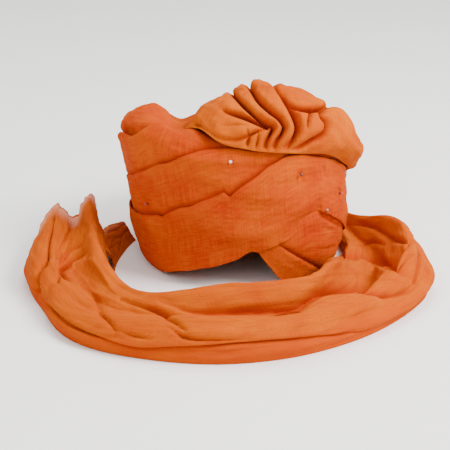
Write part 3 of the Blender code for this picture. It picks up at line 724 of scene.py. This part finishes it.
# Folds of the crest in the photograph's plane: rows of (right, up, depth) in millimetres, then the widths of
# the hollow on the left and on the right of the line
CREST_FOLDS = [
    ([(-22, 145, 0.5), (-14, 142, 4.0), (3, 137, 7.0), (16, 132, 8.0), (24, 128.5, 8.0),
      (29, 126, 6.0)], 3.0, 3.6),
    ([(-10, 164, 5.0), (-4, 157, 6.0), (7, 146, 7.0), (19, 136, 8.0), (29, 129.5, 8.0), (34.5, 127.5, 8.0),
      (35.5, 125, 8.0), (32, 118, 7.0), (28, 110, 6.0), (26, 98, 5.0)], 2.6, 3.4),
    ([(6, 175, 5.0), (12, 167, 6.0), (20, 155, 7.5), (32, 144, 8.0), (42, 136.5, 8.0), (47.5, 129, 8.0),
      (48.5, 126, 8.0), (45.5, 119, 7.0), (39, 110, 6.5), (34, 98, 5.0)], 2.6, 3.6),
    ([(34, 172, 1.0), (44, 162, 4.0), (52, 152, 7.0), (57, 143, 8.0), (61, 134, 8.0), (63, 124, 8.0),
      (58, 112, 7.0),
      (44, 97, 5.0)], 2.8, 4.4),
    ([(-47, 129, 2.0), (-32, 117, 4.0), (-17, 111, 5.0), (0, 114, 5.5), (16, 121, 4.0),
      (29, 126, 2.0)], 2.4, 3.4),
    ([(8, 120, 3.0), (8, 112, 5.0), (6, 103, 3.5)], 2.2, 3.0),
    ([(19, 121, 0.5), (18.5, 112, 1.8), (16, 102, 1.5)], 2.2, 3.0),
    ([(50, 154, 2.0), (60, 148, 5.0), (70, 146, 7.0), (79, 146, 8.0), (90, 147, 6.0),
      (97, 150, 4.0)], 2.4, 4.2),
    ([(92, 148, 5.0), (88, 139, 6.0), (94, 130, 7.0), (92, 120, 7.0), (80, 113, 7.0), (68, 106, 6.0),
      (55, 99, 4.0)],
     3.4, 3.4),
    ([(78, 145, 5.0), (74, 134, 3.5), (72, 124, 1.0)], 2.6, 2.6),
    ([(-20, 126, 0.4), (-4, 128, 1.4), (14, 127, 0.4)], 2.6, 2.6),
]


def add_pleat(name, node, left, right, left_bend, right_bend, left_dip, right_dip, columns):
    """One pleat: its share of a soft mound that follows the bend of the arrow, cut by the crest's folds."""
    share = np.linspace(0.0, 1.0, PLEAT_ROWS)[:, None]
    p = np.linspace(0.0, 1.0, columns)[None, :]
    bend = left_bend * (1 - p) + right_bend * p
    degrees = left * (1 - p) + right * p + smooth(share, CREST_SECTIONS, 2) * bend
    left_end = 1.0 + left_dip * (np.sin(0.5 * np.pi * np.minimum(p * 3, 1.0)) - 1.0)
    right_end = 1.0 + right_dip * (np.sin(0.5 * np.pi * np.minimum((1 - p) * 1.6, 1.0)) ** 0.8 - 1.0)
    outer = np.minimum(left_end, right_end)
    tall = CREST_HEIGHT * PLEAT_FULLNESS * smooth(degrees, CREST_RISE)
    tall = tall * smooth(share, CREST_SECTIONS, 1) * outer
    side = ramp(degrees, 44.0, 60.0)
    tall = tall * (1.0 + side * (0.35 * (1.0 - ramp(share, 0.2, 0.45)) - 0.65 * ramp(share, 0.3, 0.6)))
    u = degrees * 0.0018
    v = share * 0.09
    soft = 0.0009 * waves(u, v, 82, 0.022, 2.0) + 0.0004 * waves(u, v, 83, 0.009, 2.0)
    height = np.maximum(tall + soft * np.minimum(1.0, tall / SOFT_FROM), PLEAT_LOWEST)
    mound = crest_point(degrees, share, height)
    cut = FOLD_GAIN * drawn_folds(mound, CREST_FOLDS)
    inward = CREST_MIDDLE - mound
    inward /= np.linalg.norm(inward, axis=2)[:, :, None]
    front = ramp(share, 0.0, 0.04) * (1.0 - ramp(share, 0.60, 0.90))
    sunk = np.minimum(cut, 0.85 * tall) * front
    points = mound + inward * sunk[..., None]
    # The deep share is painted shade where the folds sink in.
    pleat = cloth_piece(name, points, crest_cloth, deep=0.85 * ramp(sunk, 0.001, 0.013))
    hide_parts(node)


for row in CREST_PLEATS:
    add_pleat(*row)

# Free end: the rest of the cloth, sewn at the back of the turban, laid round its right side and front, and
# left loose on the left, where its sheer corners stand up.
TAIL_HALF_WIDTH = 0.036
TAIL_HEIGHT = 0.046
FLOOR_GAP = 0.0003
TOUCH_GAP = 0.0004
TAIL_WALL_STEP = 0.145
# Route: degrees round, distance from the wall to its inner edge as a share of the half width, half width
# share, height share, depth of the valley between its two folds, inward slope share
TAIL_ROUTE = [
    (166, -0.05, 0.03, 0.04, 0.10, 0.0), (147, -0.02, 0.17, 0.50, 0.12, 0.0),
    (124, 0.01, 0.22, 0.58, 0.15, 0.0),
    (103, -0.01, 0.27, 0.54, 0.25, 0.5), (84, -0.04, 0.56, 0.76, 0.50, 0.95),
    (70, -0.05, 1.03, 1.04, 0.66, 1.0),
    (57, -0.05, 1.28, 1.02, 0.72, 1.0), (43, 0.00, 1.51, 0.98, 0.66, 0.5), (30, 0.30, 1.24, 0.90, 0.52, 0.05),
    (15, 0.69, 0.93, 0.98, 0.42, 0.0), (1, 0.75, 1.10, 1.00, 0.46, 0.0), (-12, 0.79, 1.16, 0.98, 0.46, 0.0),
    (-25, 0.84, 1.08, 0.80, 0.34, 0.0), (-38, 0.76, 1.14, 0.68, 0.22, 0.0),
    (-52, 0.60, 1.03, 0.76, 0.20, 0.0),
    (-67, 0.42, 1.10, 0.94, 0.20, 0.0), (-81, 0.33, 0.98, 1.02, 0.14, 0.0),
    (-94, 0.35, 0.88, 1.04, 0.10, 0.0),
    (-106, 0.38, 0.80, 1.02, 0.06, 0.0),
]
# Folds across it from its inner to its outer edge: place across as a share of the half width, height share,
# share of the height that the valley takes, end of the cloth as a share of the route
TAIL_FOLDS = [
    (-0.92, 0.00, 0.0, 0.955), (-1.00, 0.34, 0.0, 0.978), (-0.94, 0.74, 0.0, 1.000),
    (-0.72, 1.00, 0.0, 0.994),
    (-0.40, 0.88, 0.5, 0.964), (-0.10, 0.78, 1.0, 0.950), (0.16, 0.88, 0.5, 0.954), (0.46, 0.88, 0.0, 0.970),
    (0.80, 0.70, 0.0, 0.918), (1.00, 0.44, 0.0, 0.930), (0.95, 0.14, 0.0, 0.888), (0.93, 0.00, 0.0, 0.898),
]
INNER_SLOPE = 0.62
TAIL_STATIONS = 640
TAIL_ACROSS = 150
TAIL_LOWEST = 0.0004          # height of its lowest cloth above the floor
TAIL_FOLD_GAIN = 1.9          # its folds are cut deeper than they are drawn, since it is loose
# Its depths colour, the painted shade in its folds, is lighter than the turns', standing in for light passing
# through the loose cloth.
tail_cloth = muslin("tail_cloth", (0.50, 0.104, 0.0003, 1.0), (0.36, 0.042, 0.0001, 1.0),
                    (0.42, 0.040, 0.0002, 1.0), sheer=True)


def route_places(route, share, wall_step):
    """Middle of a piece of the free end on the floor, and its half width, at shares of its route."""
    table = [(i / (len(route) - 1),) + row for i, row in enumerate(route)]
    half = TAIL_HALF_WIDTH * smooth(share, table, 3)
    beside = 4 * TURN + TOUCH_GAP + HALF_WIDTH * smooth(share, table, 2) + half
    places = turban_point(smooth(share, table, 1), wall_step, beside)
    return table, places[..., 0], places[..., 1], half


def free_end(route, share, wall_step, places, levels):
    """Surface of a piece of the free end: folds carried along its route at their places and heights."""
    table, x, y, half = route_places(route, share, wall_step)
    ahead = 0.004
    before = route_places(route, share - ahead, wall_step)
    after = route_places(route, share + ahead, wall_step)
    dx = after[1] - before[1]
    dy = after[2] - before[2]
    length = np.hypot(dx, dy)
    across = half * places
    z = FLOOR_GAP + TAIL_HEIGHT * smooth(share, table, 4) * levels(table, share)
    return np.stack([x - dy / length * across, y + dx / length * across, z], axis=-1)


# Folds of the free end in the photograph's plane, in the same columns. A depth below 0 is a ridge.
TAIL_DRAWN = [
    ([(-84, -59, 1.0), (-47, -70, 3.5), (-10, -70, 5.5), (32, -69, 6.0), (60, -67, 6.0), (77, -57, 8.0),
      (97, -47, 8.0),
      (126, -47, 7.0), (152, -51, 5.0), (178, -47, 2.5), (189, -40, 1.0)], 10.0, 2.4),
    ([(-210, -57, 1.5), (-176, -83, 3.0), (-142, -99, 3.5), (-110, -109, 3.5), (-74, -109, 3.5),
      (-32, -106, 3.5),
      (21, -101, 3.5), (74, -98, 3.0), (113, -92, 2.5), (152, -85, 1.0)], 2.0, 4.0),
    ([(-74, -86, 1.0), (-58, -96, 3.5), (-37, -99, 3.0), (11, -98, 1.0)], 3.5, 2.0),
    ([(-131, -88, 0.5), (-112, -94, 2.0), (-95, -98, 1.0)], 3.0, 2.0),
    ([(-152, -55, 1.5), (-143, -72, 3.0), (-131, -88, 1.5)], 3.0, 4.5),
    ([(-126, -57, 1.0), (-95, -66, 3.0), (-74, -76, 3.0), (-58, -88, 1.5)], 3.0, 4.0),
    ([(-196, 33, 3.0), (-202, -7, 4.5), (-213, -30, 4.5), (-215, -54, 3.5), (-205, -65, 2.0)], 3.5, 3.0),
    ([(-178, -36, 2.0), (-184, -28, 7.0), (-181, -19, 8.0), (-173, -11, 5.0), (-163, -5, 2.0)], 4.0, 3.0),
    ([(-171, -19, -0.8), (-156, -17, -2.2), (-144, -29, -2.6), (-135, -45, -1.8),
      (-126, -56, -0.8)], 9.0, 14.0),
    ([(-155, 25, 1.0), (-168, 8, 3.0), (-181, -7, 3.5), (-189, -28, 3.0), (-202, -46, 1.0)], 4.0, 5.5),
    ([(-170, 42, 1.0), (-176, 22, 2.5), (-186, 0, 2.0), (-195, -20, 1.0)], 3.0, 4.0),
    ([(86, -14, 1.0), (98, -9, 4.5), (112, -7, 6.0), (128, -9, 6.0), (147, -16, 5.0), (166, -25, 4.0),
      (183, -34, 1.0)],
     10.0, 3.5),
    ([(78, -30, -1.0), (95, -21, -2.0), (112, -18, -2.5), (128, -19, -2.5), (148, -25, -2.0),
      (168, -34, -1.0)],
     4.0, 9.0),
    ([(112, 22, 1.5), (137, 20, 3.5), (158, 8, 4.0), (178, 5, 2.0)], 3.0, 2.6),
    ([(184, 8, 1.0), (168, -4, 4.0), (155, -17, 4.0), (152, -24, 2.0)], 3.5, 3.5),
    ([(179, -9, 1.5), (168, -20, 3.5), (164, -28, 2.0)], 2.6, 3.6),
    ([(184, 9, 2.0), (189, -9, 4.0), (186, -36, 3.0)], 2.6, 3.6),
    ([(128, 0, 1.0), (139, -14, 4.0), (152, -22, 2.0)], 3.5, 3.5),
    ([(112, 8, 1.0), (124, 2, 3.0), (140, 4, 3.0), (152, 0, 1.0)], 3.5, 3.5),
]


def tail_levels(table, share):
    """Height of the free end across its folds, with the valley and the slope of the loop at the right."""
    valley = 1.0 - taken * smooth(share, table, 5)
    inward = np.clip(0.5 - 0.9 * place, 0.0, 1.0)
    return level * valley * (1.0 - INNER_SLOPE * smooth(share, table, 6) * inward)


fold_number = [(float(i),) + row for i, row in enumerate(TAIL_FOLDS)]
q = np.linspace(0.0, len(TAIL_FOLDS) - 1.0, TAIL_ACROSS)
place = smooth(q, fold_number, 1)
level = np.maximum(smooth(q, fold_number, 2), 0.0)
taken = smooth(q, fold_number, 3)
end = smooth(q, fold_number, 4) + 0.0015 * waves(q * 0.01, q * 0.01, 91, 0.006, 1.0)
tail_share = np.linspace(1.0, 0.0, TAIL_STATIONS)[:, None] * np.minimum(end, 1.0)[None, :]
tail_points = free_end(TAIL_ROUTE, tail_share, TAIL_WALL_STEP, place[None, :], tail_levels)
run = tail_share * 0.80
band = q[None, :] * 0.016
lift = 0.0016 * waves(run, band, 92, 0.034, 9.0) + 0.0009 * crumple(run, band, 93, 0.026, 8.0)
lift = lift + 0.00045 * waves(run, band, 94, 0.010, 4.0)
near_floor = ramp(tail_points[..., 2], 0.001, 0.012)
near_floor = near_floor * ramp(route_places(TAIL_ROUTE, tail_share, TAIL_WALL_STEP)[3], 0.007, 0.026)
beside_foot = 1.0 - ramp(tail_share, 0.24, 0.34)
tail_cut = TAIL_FOLD_GAIN * drawn_folds(tail_points, TAIL_DRAWN) * (1.0 - 0.45 * beside_foot)
tail_points = push_out(tail_points, (lift * (1.0 - 0.6 * beside_foot) - tail_cut) * near_floor)
tail_points[..., 2] = np.maximum(tail_points[..., 2], TAIL_LOWEST)
to_tip = tail_share / np.minimum(end, 1.0)[None, :]
loose = ramp(to_tip, 0.945, 1.0)
hem_gap = 1.0 - ramp(to_tip, 0.993, 0.995)
# Painted shade: darker on the lower outer wall below its lowest fold, where the underside is in shade, and in
# the drawn folds
underside_painted_shade = 0.55 * ramp(q, 8.5, 9.4)[None, :] * ramp(tail_share, 0.36, 0.50)
tail_painted_shade = np.clip(0.9 * ramp(tail_cut, 0.001, 0.010) + underside_painted_shade, 0.0, 1.0)
tail = cloth_piece("free_end", tail_points, tail_cloth, sheer=0.18 * loose * hem_gap, deep=tail_painted_shade)
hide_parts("tail")

# Second corner of the free end: a single thin layer of the same muslin. It starts inside the free end and
# leans away from the left foot.
# Its route, in the first four columns of the free end's
CORNER_ROUTE = [
    (-67, 0.38, 0.06, 0.40), (-75, 0.30, 0.22, 0.52), (-84, 0.21, 0.32, 0.56), (-94, 0.12, 0.31, 0.50),
    (-103, 0.04, 0.25, 0.42),
]
# Folds across it: place across as a share of the half width, height share
CORNER_FOLDS = [(-1.0, 0.0), (-0.45, 0.30), (0.1, 0.70), (0.6, 1.0), (1.0, 0.86)]
CORNER_WALL_STEP = 0.006
CORNER_ROWS = 90
CORNER_ACROSS = 60
corner_q = np.linspace(0.0, len(CORNER_FOLDS) - 1.0, CORNER_ACROSS)
corner_folds = [(float(i),) + row for i, row in enumerate(CORNER_FOLDS)]
corner_level = smooth(corner_q, corner_folds, 2)
corner_place = smooth(corner_q, corner_folds, 1)[None, :]
corner_share = np.linspace(1.0, 0.0, CORNER_ROWS)[:, None] * np.ones((1, CORNER_ACROSS))
corner_points = free_end(CORNER_ROUTE, corner_share, CORNER_WALL_STEP, corner_place,
                         lambda table, share: corner_level)
corner_lift = 0.0012 * crumple(corner_share * 0.06, corner_q[None, :] * 0.01, 101, 0.014, 3.0)
corner_points = push_out(corner_points, corner_lift * ramp(corner_points[..., 2], 0.001, 0.008))
corner_points[..., 2] = np.maximum(corner_points[..., 2], TAIL_LOWEST)
corner_sheer = 0.15 * ramp(corner_q[None, :], 2.0, 4.0) * np.ones_like(corner_share)
corner = cloth_piece("second_corner", corner_points, tail_cloth, sheer=corner_sheer)
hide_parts("tail_corner")

# Pins: dressmaker's pins, each with a small round head of glass or steel. They are pushed through the turns
# to hold them, and only their heads show.
PIN_RADIUS = 0.0016
PIN_GAP = 0.0003              # between a head and the cloth
PIN_RINGS = 21
PIN_SIDES = 40
# Node, degrees round, height step, turns beneath, colour
PINS = [
    ("pin_1", -6.5, 0.88, 3, (0.62, 0.60, 0.58, 1.0)),
    ("pin_2", -55.0, 0.53, 3, (0.20, 0.008, 0.004, 1.0)),
    ("pin_3", 26.0, 0.78, 4, (0.16, 0.02, 0.01, 1.0)),
    ("pin_4", 54.0, 0.57, 4, (0.34, 0.01, 0.005, 1.0)),
    ("pin_5", 40.0, 0.51, 4, (0.40, 0.14, 0.07, 1.0)),
    ("pin_6", 61.0, 0.67, 4, (0.42, 0.03, 0.01, 1.0)),
]


def add_pin(node, degrees, step, layer, colour):
    """Round pin head just off the cloth, shiny, closed at both poles."""
    centre = turban_point(degrees, step, layer * TURN + PIN_GAP + PIN_RADIUS)
    up = np.linspace(0.0, np.pi, PIN_RINGS)[:, None]
    around = np.arange(PIN_SIDES)[None, :] * 2 * np.pi / PIN_SIDES
    ball = np.stack([np.sin(up) * np.cos(around), np.sin(up) * np.sin(around),
                     np.cos(up) * np.ones_like(around)], axis=-1)
    made = bpy.data.materials.new(node + "_glass")
    made.use_nodes = True
    shader = made.node_tree.nodes["Principled BSDF"]
    shader.inputs["Base Color"].default_value = colour
    shader.inputs["Roughness"].default_value = 0.35
    shader.inputs["Coat Weight"].default_value = 0.2
    head = cloth_piece(node + "_head", centre + PIN_RADIUS * ball, made, closed=True, flip=True)
    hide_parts(node)


for row in PINS:
    add_pin(*row)
